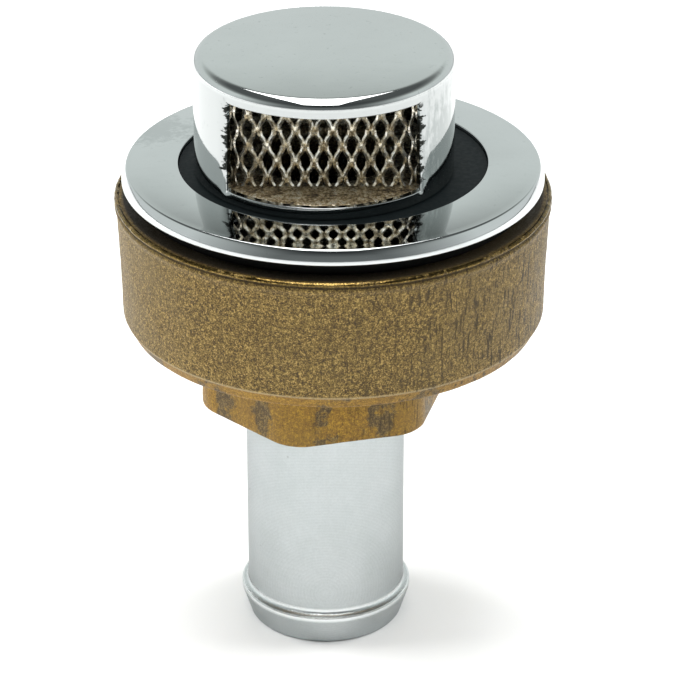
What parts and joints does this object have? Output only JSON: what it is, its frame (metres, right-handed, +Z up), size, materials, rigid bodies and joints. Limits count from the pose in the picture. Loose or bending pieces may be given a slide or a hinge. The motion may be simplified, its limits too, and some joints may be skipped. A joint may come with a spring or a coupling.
{
  "type": "tank vent skin fitting",
  "caption": "Skin fitting vent: a drum head with a screened window on a loose ring, clamped to a hull by a cast cup nut, with a beaded hose tail.",
  "frame": {"origin": "under the centre of the ring, level with the end of the hose tail, on which the fitting stands", "axes": "+Z up along the shank towards the head, -Y towards the window in the head, +X to the right of the window"},
  "size_m": [0.052, 0.052, 0.0749],
  "materials": {
    "polished_chrome": "mirror polished chrome plate on brass",
    "tarnished_brass": "unplated brass, tarnished brown",
    "screen_metal": "expanded sheet, dull nickel over brass",
    "seal_rubber": "matte black rubber",
    "gasket_rubber": "matte black rubber",
    "cast_brass": "sand cast brass, rough and brown",
    "satin_chrome": "satin chrome plate over turning marks"
  },
  "bodies": {
    "hull_side": {"flange_ring": "polished_chrome", "head_seal": "seal_rubber", "hull_gasket": "gasket_rubber"},
    "head": {"head_cap": "polished_chrome", "shank_body": "tarnished_brass", "flame_screen": "screen_metal", "hose_tail": "satin_chrome"},
    "nut": {"cup_nut": "cast_brass"}
  },
  "joints": [
    {"name": "head_turn", "type": "hinge", "parent": "hull_side", "child": "head", "pos_m": [-0.00103, -0.00103, 0.0593], "axis": [0, 0, 1], "range_deg": [0, 1800]},
    {"name": "nut_travel", "type": "slide", "parent": "hull_side", "child": "nut", "axis": [0, 0, -1], "range_m": [0, 0.0075]}
  ],
  "couplings": [
    {"joint": "head_turn", "follows": "nut_travel", "rad_per_m": 4188.8}
  ]
}
